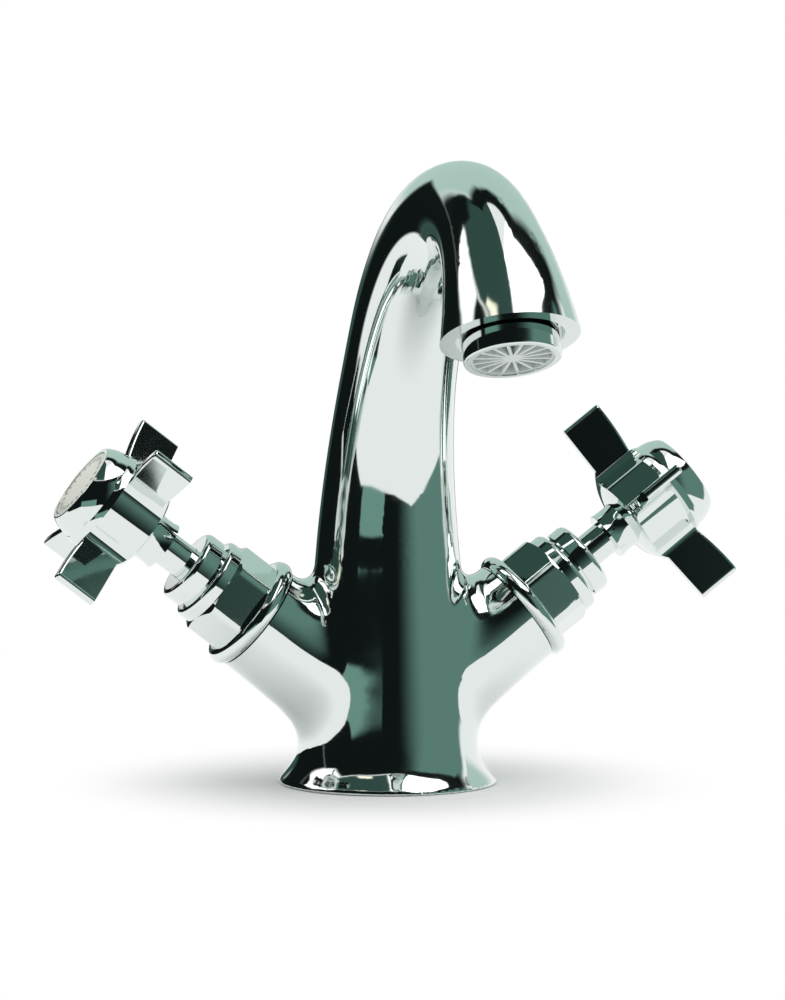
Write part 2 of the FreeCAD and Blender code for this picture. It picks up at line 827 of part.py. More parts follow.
def bonnet(name, side):
    """Headwork: a tube for the discs, a thread, a hexagon, a shoulder and the gland's spigot, all in one."""
    body = new_body(f"{name}_bonnet")
    def up(position):
        return position - bonnet_foot_at
    bore = named("spindle_radius") + running
    cavity = named("bonnet_cavity_radius")
    tube = named("bonnet_tube_radius")
    thread = named("bonnet_thread_radius") - threads
    shoulder = named("bonnet_shoulder_radius")
    groove = named("bonnet_groove_radius")
    spigot = named("bonnet_spigot_radius")
    top = gland_at + named("bonnet_spigot_height")
    half_flats = named("bonnet_hex_flats") / 2
    corner = half_flats / cosine(Size.of(30))
    hexagon = [(corner * math.cos(math.radians(60 * step)), corner * math.sin(math.radians(60 * step)))
               for step in range(6)]
    padded(body, hexagon, named("bonnet_hex_height"), lift=up(hex_at))
    # the hexagon's upper corners are turned off to a shallow cone
    chamfer_foot = up(shoulder_at) - named("bonnet_hex_chamfer")
    slope = (corner - half_flats) / named("bonnet_hex_chamfer")
    grooved(body, [(half_flats, up(shoulder_at)), (corner + overrun * slope, chamfer_foot - overrun),
                   (corner + overrun * slope, up(shoulder_at))])
    turned(body, [(bore, up(ceiling_at)), (cavity, up(ceiling_at)), (cavity, 0), (tube, 0), (tube, up(thread_at)),
                  (thread, up(thread_at)), (thread, up(hex_at)), (half_flats - loose, up(hex_at)),
                  (half_flats - loose, up(shoulder_at)), (shoulder, up(shoulder_at)), (shoulder, up(groove_at)),
                  (groove, up(groove_at)), (groove, up(gland_at)), (spigot, up(gland_at)), (spigot, up(top)),
                  (bore, up(top))])
    grooved(body, [(0, up(ceiling_at)), (bore, up(ceiling_at)), (bore, up(top) + overrun), (0, up(top) + overrun)])
    rounded(body, named("bonnet_shoulder_round"), [(shoulder, up(groove_at))])
    # stop ribs inside the tube, either side of the spindle's lug at the ends of its travel
    half_lug = named("stop_lug_width") / 2
    half_rib = named("stop_rib_width") / 2
    inside = named("stop_rib_reach")
    outside = (cavity + tube) / 2
    rib = [(inside, -half_rib), (outside, -half_rib), (outside, half_rib), (inside, half_rib)]
    apart = arcsine(half_lug / inside) + arcsine(half_rib / inside) + named("stop_spare_angle")
    from_middle = named("handle_travel_angle") / 2 + apart
    for hand in (-1, 1):
        padded(body, rib, ceiling_at - head_at, lift=up(head_at), turn=from_middle * hand)
    # windows that let the water out of the tube
    wide = rectangle(2 * tube + 2 * overrun, named("bonnet_window_width"))
    pocketed(body, wide, named("spindle_head_height"), lift=up(head_at))
    on_valve(body, side, bonnet_foot_at)
    return body


def bead_ring(name, side):
    body = new_body(f"{name}_bead_ring")
    bore = named("bonnet_thread_radius") + threads
    half = named("bead_thickness") / 2
    thickness = named("bead_thickness")
    outer = named("bead_radius")
    pocket = seal_centre() + named("bead_seal_section") + film
    depth = 2 * named("bead_seal_section") + film
    turned(body, [(pocket, 0), (outer - half, 0, half), (outer, half, half), (outer - half, thickness),
                  (bore, thickness), (bore, depth), (pocket, depth)])
    on_valve(body, side, bead_at)
    return body


def seal_centre():
    """Mid radius of the ring seal that sits round the bonnet's thread, inside the bead ring."""
    return named("bonnet_thread_radius") + named("bead_seal_section") + film


def bonnet_seal(name, side):
    ring = doc.addObject("Part::Torus", f"{name}_bonnet_seal")
    ring.Label = f"{name}_bonnet_seal"
    bind(ring, Radius1=seal_centre(), Radius2=named("bead_seal_section"))
    on_valve(ring, side, bead_at + named("bead_seal_section") + film / 2)
    return ring


def gland_nut(name, side):
    """Round nut that screws on the bonnet's spigot and hides the spindle's retaining ring."""
    body = new_body(f"{name}_gland_nut")
    radius = named("gland_radius")
    height = named("gland_height")
    roof = height - named("gland_roof")
    thread = named("bonnet_spigot_radius") + threads
    hole = named("spindle_radius") + loose
    turned(body, [(thread, 0), (radius, 0), (radius, height), (hole, height), (hole, roof), (thread, roof)])
    rounded(body, named("gland_round"), [(radius, height)])
    on_valve(body, side, gland_at)
    return body


# The pieces that turn with each handle

def moving_disc(name, side):
    body = new_body(f"{name}_moving_disc")
    radius = named("disc_radius") - loose
    height = named("disc_thickness")
    turned(body, [(0, 0), (radius, 0), (radius, height), (0, height)])
    disc_ports(body, Size.of(90))
    slot = rectangle(named("tongue_length") + 2 * loose, named("tongue_width") + 2 * loose)
    deep = named("tongue_depth") + loose
    pocketed(body, slot, deep, lift=height - deep)
    on_valve(body, side, moving_disc_at)
    return body


def spindle(name, side):
    """Brass stem: a tongue in the moving disc, a head with its stop lug, a journal and the handle's drive end."""
    body = new_body(f"{name}_spindle")
    foot_at = head_at - named("tongue_depth")
    def up(position):
        return position - foot_at
    radius = named("spindle_radius")
    head = named("spindle_head_radius")
    groove = named("oring_groove_radius")
    width = named("oring_groove_width")
    clip = named("circlip_groove_radius")
    spline = named("spline_radius")
    tapped = named("screw_radius") + threads
    first = up(ceiling_at) + named("oring_first")
    second = first + named("oring_pitch")
    clip_foot = up(circlip_at) - film
    clip_top = up(circlip_at) + named("circlip_thickness") + film
    hole_foot = up(screw_seat_at) - named("screw_length") - loose
    turned(body, [(0, up(head_at)), (head, up(head_at)), (head, up(friction_washer_at)),
                  (radius, up(friction_washer_at)), (radius, first), (groove, first), (groove, first + width),
                  (radius, first + width), (radius, second), (groove, second), (groove, second + width),
                  (radius, second + width), (radius, clip_foot), (clip, clip_foot), (clip, clip_top),
                  (radius, clip_top), (radius, up(handle_at)), (spline, up(handle_at)), (spline, up(spline_top_at)),
                  (tapped, up(spline_top_at)), (tapped, hole_foot), (0, hole_foot)])
    rounded(body, named("spindle_end_chamfer"), [(spline, up(spline_top_at))])
    padded(body, rectangle(named("tongue_length"), named("tongue_width")), up(head_at))
    half_lug = named("stop_lug_width") / 2
    reach = named("stop_lug_reach")
    lug = [(0, -half_lug), (reach, -half_lug), (reach, half_lug), (0, half_lug)]
    # at rest the lug stands at the closed end of its travel
    padded(body, lug, named("spindle_head_height"), lift=up(head_at), turn=named("handle_travel_angle") / 2 * side)
    on_valve(body, side, foot_at)
    return body


def friction_washer(name, side):
    body = new_body(f"{name}_friction_washer")
    inner = named("spindle_radius") + loose
    outer = named("friction_washer_radius")
    height = named("friction_washer_thickness")
    turned(body, [(inner, 0), (outer, 0), (outer, height), (inner, height)])
    on_valve(body, side, friction_washer_at)
    return body


def spindle_seals(name, side):
    """Two ring seals in the spindle's grooves, kept together as one piece."""
    middle = (named("oring_groove_radius") + named("spindle_radius") + running) / 2
    section = (named("spindle_radius") + running - named("oring_groove_radius")) / 2 - film
    rings = []
    for step in (0, 1):
        ring = doc.addObject("Part::Torus", "spindle_seal")
        bind(ring, Radius1=middle, Radius2=section)
        height = named("oring_first") + step * named("oring_pitch") + named("oring_groove_width") / 2
        on_valve(ring, side, ceiling_at + height)
        rings.append(ring)
    pair = doc.addObject("Part::Compound", f"{name}_spindle_seals")
    pair.Label = f"{name}_spindle_seals"
    pair.Links = rings
    return pair


def circlip(name, side):
    """Open spring ring in the spindle's groove, which keeps the spindle from being pushed down."""
    body = new_body(f"{name}_circlip")
    inner = named("circlip_groove_radius") + film
    outer = named("circlip_radius")
    height = named("circlip_thickness")
    turned(body, [(inner, 0), (outer, 0), (outer, height), (inner, height)])
    half = named("circlip_opening") / 2
    far = outer + overrun
    pocketed(body, [(0, -half), (far, -half), (far, half), (0, half)], height)
    on_valve(body, side, circlip_at)
    return body


def handle(name, side):
    """Cross handle: a waisted boss, a rounded barrel with four flat blades, and a collar under the index cap."""
    body = new_body(f"{name}_handle")
    boss_top = named("boss_height")
    bowl_top = boss_top + named("bowl_rise")
    tip = named("blade_tip_radius")
    tip_low = bowl_top + named("blade_tip_lift")
    tip_high = tip_low + named("blade_tip_width")
    collar = boss_top + named("collar_height")
    top = boss_top + named("hub_height")
    thread = named("cap_thread_radius") + threads
    thread_foot = top - named("cap_thread_length") - loose
    pocket = named("screw_pocket_radius")
    web_top = screw_seat_at - handle_at
    web_foot = web_top - named("socket_web")
    screw_hole = named("screw_radius") + loose
    spline = named("spline_radius") + threads
    turned(body, [
        (spline, 0), (named("boss_end_radius"), 0, -named("boss_waist_bow")),
        (named("boss_top_radius"), boss_top, named("bowl_bow")), (named("bowl_radius"), bowl_top),
        (tip, tip_low), (tip, tip_high, named("blade_edge_bow")),
        (named("collar_radius"), collar), (thread, collar), (thread, thread_foot), (pocket, thread_foot),
        (pocket, web_top), (screw_hole, web_top), (screw_hole, web_foot), (spline, web_foot)])
    # the four hollows between the blades: a blade's face, a rounded root, the barrel, a root, the next blade
    half = named("blade_thickness") / 2
    fillet = named("blade_root_round")
    barrel = named("barrel_radius")
    along = root((barrel + fillet) * (barrel + fillet) - (half + fillet) * (half + fillet))
    share = barrel / (barrel + fillet)
    far = tip + overrun
    hollow = pocketed(body, [
        (along, half), (far, half), (far, far), (half, far), (half, along, fillet),
        (share * (half + fillet), share * along, -barrel), (share * along, share * (half + fillet), fillet)],
        tip_high + overrun, turn=named(f"{name}_blade_angle"))
    patterned(body, hollow, BLADES)
    # the collar closes the hollows on the cap's side
    turned(body, [(thread, collar), (named("collar_radius"), collar, named("hub_brow_bow")),
                  (named("hub_top_radius"), top), (thread, top)])
    softened_blades(body)
    on_valve(body, side, handle_at)
    return body


def softened_blades(body):
    """Rounds the blades' ends, and more lightly their long edges on the cap's side."""
    doc.recompute()
    tip_low = (named("boss_height") + named("bowl_rise") + named("blade_tip_lift")).value
    inside = named("blade_tip_radius").value - named("blade_thickness").value
    for label, radius in (("ends", named("blade_tip_round")), ("edges", named("blade_edge_round"))):
        tip = body.Tip
        edges = []
        for number, edge in enumerate(tip.Shape.Edges, start=1):
            spots = [edge.valueAt(at) for at in (edge.FirstParameter, edge.LastParameter)]
            reaches = [math.hypot(spot.x, spot.y) for spot in spots]
            upright = min(reaches) > inside and abs(spots[0].z - spots[1].z) > named("blade_thickness").value
            outwards = max(reaches) > inside > min(reaches) and min(spot.z for spot in spots) > tip_low + NEAR
            if (label == "ends" and upright) or (label == "edges" and outwards):
                edges.append(f"Edge{number}")
        fillet = body.newObject("PartDesign::Fillet", f"{body.Label}_{label}")
        fillet.Base = (tip, edges)
        bind(fillet, Radius=radius)
        doc.recompute()


def handle_screw(name, side):
    body = new_body(f"{name}_handle_screw")
    radius = named("screw_radius")
    length = named("screw_length")
    head = named("screw_head_radius")
    top = length + named("screw_head_height")
    turned(body, [(0, 0), (radius, 0), (radius, length), (head, length), (head, top), (0, top)])
    slot = rectangle(2 * head + overrun, named("screw_slot_width"))
    pocketed(body, slot, named("screw_slot_depth"), lift=top - named("screw_slot_depth"))
    on_valve(body, side, screw_seat_at - length)
    return body


def index_cap(name, side):
    """Chromed cap that screws into the handle and frames the index disc."""
    body = new_body(f"{name}_index_cap")
    thread = named("cap_thread_radius")
    foot = named("cap_thread_length")
    top = foot + named("cap_height")
    floor = top - named("index_recess") - named("index_thickness")
    bore = named("cap_bore")
    frame = named("cap_front_radius") - named("cap_lip")
    ceiling = foot + named("cap_height") / 3
    turned(body, [(bore, 0), (thread, 0), (thread, foot), (named("cap_foot_radius"), foot, named("cap_side_bow")),
                  (named("cap_front_radius"), top), (frame, top), (frame, floor), (0, floor), (0, ceiling),
                  (bore, ceiling)])
    rounded(body, named("cap_front_round"), [(named("cap_front_radius"), top)])
    on_valve(body, side, cap_foot_at)
    return body


def index_disc(name, side):
    body = new_body(f"{name}_index_disc")
    radius = named("cap_front_radius") - named("cap_lip") - threads
    height = named("index_thickness")
    turned(body, [(0, 0), (radius, 0), (radius, height), (0, height)])
    rounded(body, named("index_edge_round"), [(radius, height)])
    on_valve(body, side, index_at)
    return body


# Assembly: hot on the left, cold on the right
SIDES = {"hot": -1, "cold": 1}
VALVE_PIECES = [
    seat_seal, fixed_disc, bonnet, bead_ring, bonnet_seal, gland_nut, moving_disc, spindle, friction_washer,
    spindle_seals, circlip, handle, handle_screw, index_cap, index_disc,
]
nodes = [tap_body(), foot_seal(), aerator_housing(), aerator_insert(), aerator_screen(), aerator_washer()]
nodes += [make(name, side) for name, side in SIDES.items() for make in VALVE_PIECES]
doc.recompute()

faults = [item.Label for item in doc.Objects if "Invalid" in item.State or "Error" in item.State]
for node in nodes:
    if node.Shape.isNull() or not node.Shape.isValid():
        faults.append(node.Label)
if faults:
    raise RuntimeError("failed: " + ", ".join(faults))

os.makedirs("parts", exist_ok=True)
for node in nodes:
    node.Shape.exportStep(f"parts/{node.Label}.step")
    print(node.Label, len(node.Shape.Solids), round(node.Shape.Volume, 1))
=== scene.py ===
"""Basin mixer tap in polished chrome: a swan-neck casting with two raised valves and cross handles."""
import math

import bmesh
import bpy
from mathutils import Matrix, Vector


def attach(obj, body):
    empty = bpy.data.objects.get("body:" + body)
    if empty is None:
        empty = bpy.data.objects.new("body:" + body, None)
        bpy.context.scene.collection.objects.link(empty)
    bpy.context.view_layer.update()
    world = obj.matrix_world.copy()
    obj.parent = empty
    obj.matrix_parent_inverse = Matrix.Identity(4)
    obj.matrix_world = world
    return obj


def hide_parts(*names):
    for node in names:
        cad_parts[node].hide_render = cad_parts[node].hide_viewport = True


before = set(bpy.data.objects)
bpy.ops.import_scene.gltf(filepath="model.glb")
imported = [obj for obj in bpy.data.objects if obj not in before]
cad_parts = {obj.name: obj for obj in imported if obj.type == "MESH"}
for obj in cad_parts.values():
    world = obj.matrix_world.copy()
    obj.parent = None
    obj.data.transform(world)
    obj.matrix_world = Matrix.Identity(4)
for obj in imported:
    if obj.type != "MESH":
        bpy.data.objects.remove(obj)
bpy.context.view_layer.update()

# Casting
# Foot, column, arms and swan neck are one hollow brass casting, ground and buffed by hand, then
# nickelled and chromed. The plating keeps a faint wave from buffing and a thin film of wiped water.


def plating_wave():
    """Shared finish of all plated brass: a roughness that drifts with wiping, and the buffing's shallow wave."""
    group = bpy.data.node_groups.new("plating wave", "ShaderNodeTree")
    side = group.interface
    side.new_socket("Place", in_out="INPUT", socket_type="NodeSocketVector")
    side.new_socket("Polish", in_out="INPUT", socket_type="NodeSocketFloat")
    side.new_socket("Haze", in_out="INPUT", socket_type="NodeSocketFloat")
    side.new_socket("Roughness", in_out="OUTPUT", socket_type="NodeSocketFloat")
    side.new_socket("Height", in_out="OUTPUT", socket_type="NodeSocketFloat")
    nodes, links = group.nodes, group.links
    given = nodes.new("NodeGroupInput")
    made = nodes.new("NodeGroupOutput")
    wiping = nodes.new("ShaderNodeTexNoise")
    wiping.inputs["Scale"].default_value = 55.0
    wiping.inputs["Detail"].default_value = 4.0
    wiping.inputs["Distortion"].default_value = 1.2
    links.new(given.outputs["Place"], wiping.inputs["Vector"])
    film = nodes.new("ShaderNodeMapRange")
    film.interpolation_type = "SMOOTHSTEP"
    film.inputs["From Min"].default_value = 0.45
    film.inputs["From Max"].default_value = 0.75
    links.new(wiping.outputs["Fac"], film.inputs["Value"])
    links.new(given.outputs["Polish"], film.inputs["To Min"])
    links.new(given.outputs["Haze"], film.inputs["To Max"])
    links.new(film.outputs["Result"], made.inputs["Roughness"])
    buffing = nodes.new("ShaderNodeTexNoise")
    buffing.inputs["Scale"].default_value = 90.0
    buffing.inputs["Detail"].default_value = 1.0
    links.new(given.outputs["Place"], buffing.inputs["Vector"])
    links.new(buffing.outputs["Fac"], made.inputs["Height"])
    return group


PLATING = plating_wave()


def blank(name):
    """A new material, with its nodes, its links and its main shader."""
    material = bpy.data.materials.new(name)
    material.use_nodes = True
    nodes, links = material.node_tree.nodes, material.node_tree.links
    return material, nodes, links, nodes["Principled BSDF"]


def raised(nodes, links, shader, height, depth):
    """Lets a height between 0 and 1 lift a shader's surface by up to a depth in metres."""
    bump = nodes.new("ShaderNodeBump")
    bump.inputs["Strength"].default_value = 1.0
    bump.inputs["Distance"].default_value = depth
    links.new(height, bump.inputs["Height"])
    links.new(bump.outputs["Normal"], shader.inputs["Normal"])


def chrome(name, colour, polish, haze, wave):
    """Chromed brass. polish and haze are the least and most roughness, wave the depth of the buffing in metres."""
    material, nodes, links, shader = blank(name)
    shader.inputs["Base Color"].default_value = (*colour, 1.0)
    shader.inputs["Metallic"].default_value = 1.0
    place = nodes.new("ShaderNodeTexCoord")
    finish = nodes.new("ShaderNodeGroup")
    finish.node_tree = PLATING
    finish.inputs["Polish"].default_value = polish
    finish.inputs["Haze"].default_value = haze
    links.new(place.outputs["Object"], finish.inputs["Place"])
    links.new(finish.outputs["Roughness"], shader.inputs["Roughness"])
    raised(nodes, links, shader, finish.outputs["Height"], wave)
    return material


def dress(node, material):
    """Gives a CAD node its finish."""
    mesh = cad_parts[node].data
    mesh.materials.clear()
    mesh.materials.append(material)


def welded(node):
    """A CAD piece's mesh, open for work, with its faces joined where they share a point."""
    shape = bmesh.new()
    shape.from_mesh(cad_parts[node].data)
    bmesh.ops.remove_doubles(shape, verts=shape.verts, dist=0.000001)
    return shape


def built(shape, name):
    """Puts a finished shape into the scene as a piece."""
    mesh = bpy.data.meshes.new(name)
    shape.to_mesh(mesh)
    shape.free()
    piece = bpy.data.objects.new(name, mesh)
    bpy.context.scene.collection.objects.link(piece)
    return piece


def outer_skin(shape, sharp):
    """The points of all faces that can be reached from the highest one without crossing a sharp edge."""
    highest = max(shape.faces, key=lambda face: face.calc_center_median().z)
    skin = {highest}
    border = [highest]
    while border:
        for edge in set(border.pop().edges) - sharp:
            reached = set(edge.link_faces) - skin
            skin |= reached
            border += reached
    return {vert for face in skin for vert in face.verts}


def evened(node, spacing, splits, passes, crease, top):
    """A copy of a CAD piece that is relaxed, so that its plating mirrors without kinks.

    Edges longer than spacing are halved up to splits times. Below the height top, the outer skin is then relaxed
    between the edges that are sharper than crease, and the waterways inside stay as they are.
    """
    shape = welded(node)
    for _ in range(splits):
        long_edges = [edge for edge in shape.edges if edge.calc_length() > spacing]
        bmesh.ops.subdivide_edges(shape, edges=long_edges, cuts=1)
        bmesh.ops.triangulate(shape, faces=[face for face in shape.faces if len(face.verts) > 3],
                              quad_method="SHORT_EDGE", ngon_method="EAR_CLIP")
    sharp = {edge for edge in shape.edges if edge.calc_face_angle(math.pi) > crease}
    for edge in sharp:
        edge.smooth = False
    held = {vert for edge in sharp for vert in edge.verts}
    skin = outer_skin(shape, sharp)
    loose = [vert for vert in shape.verts if vert in skin and vert not in held and vert.co.z < top]
    for _ in range(passes):
        bmesh.ops.smooth_vert(shape, verts=loose, factor=0.5, use_axis_x=True, use_axis_y=True, use_axis_z=True)
    for face in shape.faces:
        face.smooth = True
    piece = built(shape, f"{node}_evened")
    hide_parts(node)
    return piece


def shaded_as(piece, node, low, high, blend):
    """Shades a copy between two heights by the CAD piece's own normals, which are exact on its swept surfaces."""
    swept = piece.vertex_groups.new(name="swept")
    for vert in piece.data.vertices:
        above = min(1.0, max(0.0, (vert.co.z - low) / blend))
        below = min(1.0, max(0.0, (high - vert.co.z) / blend))
        swept.add([vert.index], above * below, "REPLACE")
    shading = piece.modifiers.new("cad shading", "DATA_TRANSFER")
    shading.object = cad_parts[node]
    shading.use_loop_data = True
    shading.data_types_loops = {"CUSTOM_NORMAL"}
    shading.loop_mapping = "POLYINTERP_NEAREST"
    shading.vertex_group = swept.name


plated = (0.76, 0.81, 0.79)
neck_foot = 0.055
spout_back = 0.097
casting = evened("tap_body", spacing=0.0019, splits=2, passes=24, crease=math.radians(32), top=neck_foot)
shaded_as(casting, "tap_body", low=neck_foot, high=spout_back, blend=0.005)
casting.data.materials.append(chrome("body chrome", plated, polish=0.045, haze=0.075, wave=0.000003))
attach(casting, "tap")

# Foot seal
# A square-cut ring of black rubber in the groove under the foot, pressed onto the basin by the fixing stud.


def mould_cloud():
    """Shared look of everything pressed in a mould: a faint cloudiness between two shades, and a soft skin."""
    group = bpy.data.node_groups.new("mould cloud", "ShaderNodeTree")
    side = group.interface
    side.new_socket("Place", in_out="INPUT", socket_type="NodeSocketVector")
    side.new_socket("Grain", in_out="INPUT", socket_type="NodeSocketFloat")
    side.new_socket("Light", in_out="INPUT", socket_type="NodeSocketColor")
    side.new_socket("Dark", in_out="INPUT", socket_type="NodeSocketColor")
    side.new_socket("Colour", in_out="OUTPUT", socket_type="NodeSocketColor")
    side.new_socket("Height", in_out="OUTPUT", socket_type="NodeSocketFloat")
    nodes, links = group.nodes, group.links
    given = nodes.new("NodeGroupInput")
    made = nodes.new("NodeGroupOutput")
    cloud = nodes.new("ShaderNodeTexNoise")
    cloud.inputs["Detail"].default_value = 5.0
    links.new(given.outputs["Place"], cloud.inputs["Vector"])
    links.new(given.outputs["Grain"], cloud.inputs["Scale"])
    shade = nodes.new("ShaderNodeMix")
    shade.data_type = "RGBA"
    links.new(cloud.outputs["Fac"], shade.inputs["Factor"])
    links.new(given.outputs["Dark"], shade.inputs["A"])
    links.new(given.outputs["Light"], shade.inputs["B"])
    links.new(shade.outputs["Result"], made.inputs["Colour"])
    links.new(cloud.outputs["Fac"], made.inputs["Height"])
    return group


MOULD = mould_cloud()


def moulded(name, light, dark, roughness, grain, skin):
    """Anything pressed in a mould: grain is the cloudiness per metre, skin the depth of its surface in metres."""
    material, nodes, links, shader = blank(name)
    shader.inputs["Roughness"].default_value = roughness
    place = nodes.new("ShaderNodeTexCoord")
    finish = nodes.new("ShaderNodeGroup")
    finish.node_tree = MOULD
    finish.inputs["Grain"].default_value = grain
    finish.inputs["Light"].default_value = (*light, 1.0)
    finish.inputs["Dark"].default_value = (*dark, 1.0)
    links.new(place.outputs["Object"], finish.inputs["Place"])
    links.new(finish.outputs["Colour"], shader.inputs["Base Color"])
    raised(nodes, links, shader, finish.outputs["Height"], skin)
    return material


BLACK_RUBBER = moulded("black rubber", light=(0.026, 0.026, 0.028), dark=(0.012, 0.012, 0.013), roughness=0.7,
                       grain=900.0, skin=0.00001)
dress("foot_seal", BLACK_RUBBER)

# Aerator
# A chromed sleeve screwed into the spout's end on a rubber washer. Inside it a perforated steel disc breaks the
# stream up and a moulded plastic star lets it out in an even bundle.


def steel(name, roughness):
    """Bare stainless steel with fine streaks left by rolling."""
    material, nodes, links, shader = blank(name)
    shader.inputs["Base Color"].default_value = (0.78, 0.8, 0.8, 1.0)
    shader.inputs["Metallic"].default_value = 1.0
    place = nodes.new("ShaderNodeTexCoord")
    stretch = nodes.new("ShaderNodeMapping")
    stretch.inputs["Scale"].default_value = (200.0, 4000.0, 4000.0)
    links.new(place.outputs["Object"], stretch.inputs["Vector"])
    streaks = nodes.new("ShaderNodeTexNoise")
    streaks.inputs["Scale"].default_value = 1.0
    links.new(stretch.outputs["Vector"], streaks.inputs["Vector"])
    spread = nodes.new("ShaderNodeMapRange")
    streak_share = 0.3
    spread.inputs["To Min"].default_value = roughness * (1 - streak_share)
    spread.inputs["To Max"].default_value = roughness * (1 + streak_share)
    links.new(streaks.outputs["Fac"], spread.inputs["Value"])
    links.new(spread.outputs["Result"], shader.inputs["Roughness"])
    return material


TRIM_CHROME = chrome("trim chrome", plated, polish=0.035, haze=0.065, wave=0.000004)
STAINLESS = steel("stainless steel", roughness=0.3)
AERATOR_PLASTIC = moulded("aerator plastic", light=(0.8, 0.85, 0.84), dark=(0.68, 0.74, 0.73), roughness=0.35,
                          grain=240.0, skin=0.000004)
dress("aerator_housing", TRIM_CHROME)
dress("aerator_insert", AERATOR_PLASTIC)
dress("aerator_screen", STAINLESS)
dress("aerator_washer", BLACK_RUBBER)

# Valves
# Each valve is a turned brass headwork screwed into an arm over a chromed bead ring. Two ceramic discs on a rubber
# seat shut off the water, and a brass spindle with ring seals, a slip washer and a spring clip turns the upper one.
CERAMIC = moulded("lapped ceramic", light=(0.86, 0.86, 0.84), dark=(0.8, 0.8, 0.78), roughness=0.25,
                  grain=500.0, skin=0.000002)
SLIP_PLASTIC = moulded("slip washer plastic", light=(0.84, 0.84, 0.82), dark=(0.76, 0.76, 0.74), roughness=0.4,
                       grain=240.0, skin=0.000004)
SIDES = {"hot": -1, "cold": 1}
valve_height = 0.0163
valve_tilt = math.radians(37.7)
valve_root = Vector((0.0, 0.0, valve_height))


def from_axis(place, centre, along):
    """The way straight out to a place from the axis through centre."""
    outward = place - centre
    return outward - along * outward.dot(along)


def facing(shape, normals):
    """The faces that look along one of the normals."""
    nearly = 0.999
    return [face for face in shape.faces if any(face.normal.dot(normal) > nearly for normal in normals)]


def long_corners(shape, centre, along, least, crease):
    """The ways out from the axis to the edges along it that are longer than least and sharper than crease."""
    nearly = 0.99
    corners = []
    for edge in shape.edges:
        run = edge.verts[1].co - edge.verts[0].co
        lengthways = run.length > least and abs(run.normalized().dot(along)) > nearly
        if lengthways and edge.calc_face_angle(0.0) > crease:
            corners.append(from_axis(edge.verts[0].co, centre, along))
    return corners


def buffed(node, centre, along, least, radius, steps):
    """A copy of a CAD piece whose hexagon has its long corners buffed round, about an axis through centre.

    The corners are the edges along the axis that are longer than least. Planes through the axis cut the two flats
    beside each corner into strips, whose points then move in to the rounding and along the faces that end it.
    """
    shape = welded(node)
    half_bend = math.radians(30)
    end_slope = 0.3
    for corner in long_corners(shape, centre, along, least, half_bend):
        flats = corner.length * math.cos(half_bend)
        middle = (flats - radius) / math.cos(half_bend)
        reach = math.atan2(radius * math.sin(half_bend), middle + radius * math.cos(half_bend))
        normals = [Matrix.Rotation(turn, 3, along) @ corner.normalized() for turn in (-half_bend, half_bend)]
        for step in range(-steps, steps + 1):
            across = along.cross(Matrix.Rotation(reach * step / steps, 3, along) @ corner)
            strips = facing(shape, normals)
            edges = dict.fromkeys(edge for face in strips for edge in face.edges)
            verts = dict.fromkeys(vert for face in strips for vert in face.verts)
            bmesh.ops.bisect_plane(shape, geom=[*strips, *edges, *verts], dist=0.0000001, plane_co=centre,
                                   plane_no=across)
        shape.normal_update()
        moves = {}
        for vert in dict.fromkeys(vert for face in facing(shape, normals) for vert in face.verts):
            outward = from_axis(vert.co, centre, along)
            turn = outward.angle(corner)
            if turn < reach:
                rounding = middle * math.cos(turn) + math.sqrt(radius ** 2 - (middle * math.sin(turn)) ** 2)
                inward = -outward.normalized()
                ends = [face.normal for face in vert.link_faces if abs(face.normal.dot(along)) > end_slope]
                rise = -ends[0].dot(inward) / ends[0].dot(along) if ends else 0.0
                moves[vert] = (inward + along * rise) * (outward.length - rounding)
        for vert, move in moves.items():
            vert.co += move
    bmesh.ops.triangulate(shape, faces=[face for face in shape.faces if len(face.verts) > 4],
                          quad_method="SHORT_EDGE", ngon_method="EAR_CLIP")
    for edge in shape.edges:
        edge.smooth = edge.calc_face_angle(math.pi) < half_bend
    for face in shape.faces:
        face.smooth = True
    piece = built(shape, f"{node}_buffed")
    flat_faces = piece.modifiers.new("flat faces", "WEIGHTED_NORMAL")
    flat_faces.weight = 100
    flat_faces.keep_sharp = True
    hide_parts(node)
    return piece


for valve, side in SIDES.items():
    axis = Vector((side * math.cos(valve_tilt), 0.0, math.sin(valve_tilt)))
    bonnet = buffed(f"{valve}_bonnet", valve_root, axis, least=0.004, radius=0.0025, steps=4)
    bonnet.data.materials.append(TRIM_CHROME)
    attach(bonnet, "tap")
    dress(f"{valve}_bead_ring", TRIM_CHROME)
    dress(f"{valve}_gland_nut", TRIM_CHROME)
    dress(f"{valve}_spindle", TRIM_CHROME)
    dress(f"{valve}_seat_seal", BLACK_RUBBER)
    dress(f"{valve}_bonnet_seal", BLACK_RUBBER)
    dress(f"{valve}_spindle_seals", BLACK_RUBBER)
    dress(f"{valve}_fixed_disc", CERAMIC)
    dress(f"{valve}_moving_disc", CERAMIC)
    dress(f"{valve}_friction_washer", SLIP_PLASTIC)
    dress(f"{valve}_circlip", STAINLESS)

# Handles
# Cross handles of forged brass, milled to four flat blades and chromed. A steel screw under the index cap holds
# each on its spindle, and the chromed cap screws in over it.
HANDLE_CHROME = chrome("handle chrome", plated, polish=0.035, haze=0.065, wave=0.000004)
for valve in SIDES:
    dress(f"{valve}_handle", HANDLE_CHROME)
    dress(f"{valve}_index_cap", HANDLE_CHROME)
    dress(f"{valve}_handle_screw", STAINLESS)
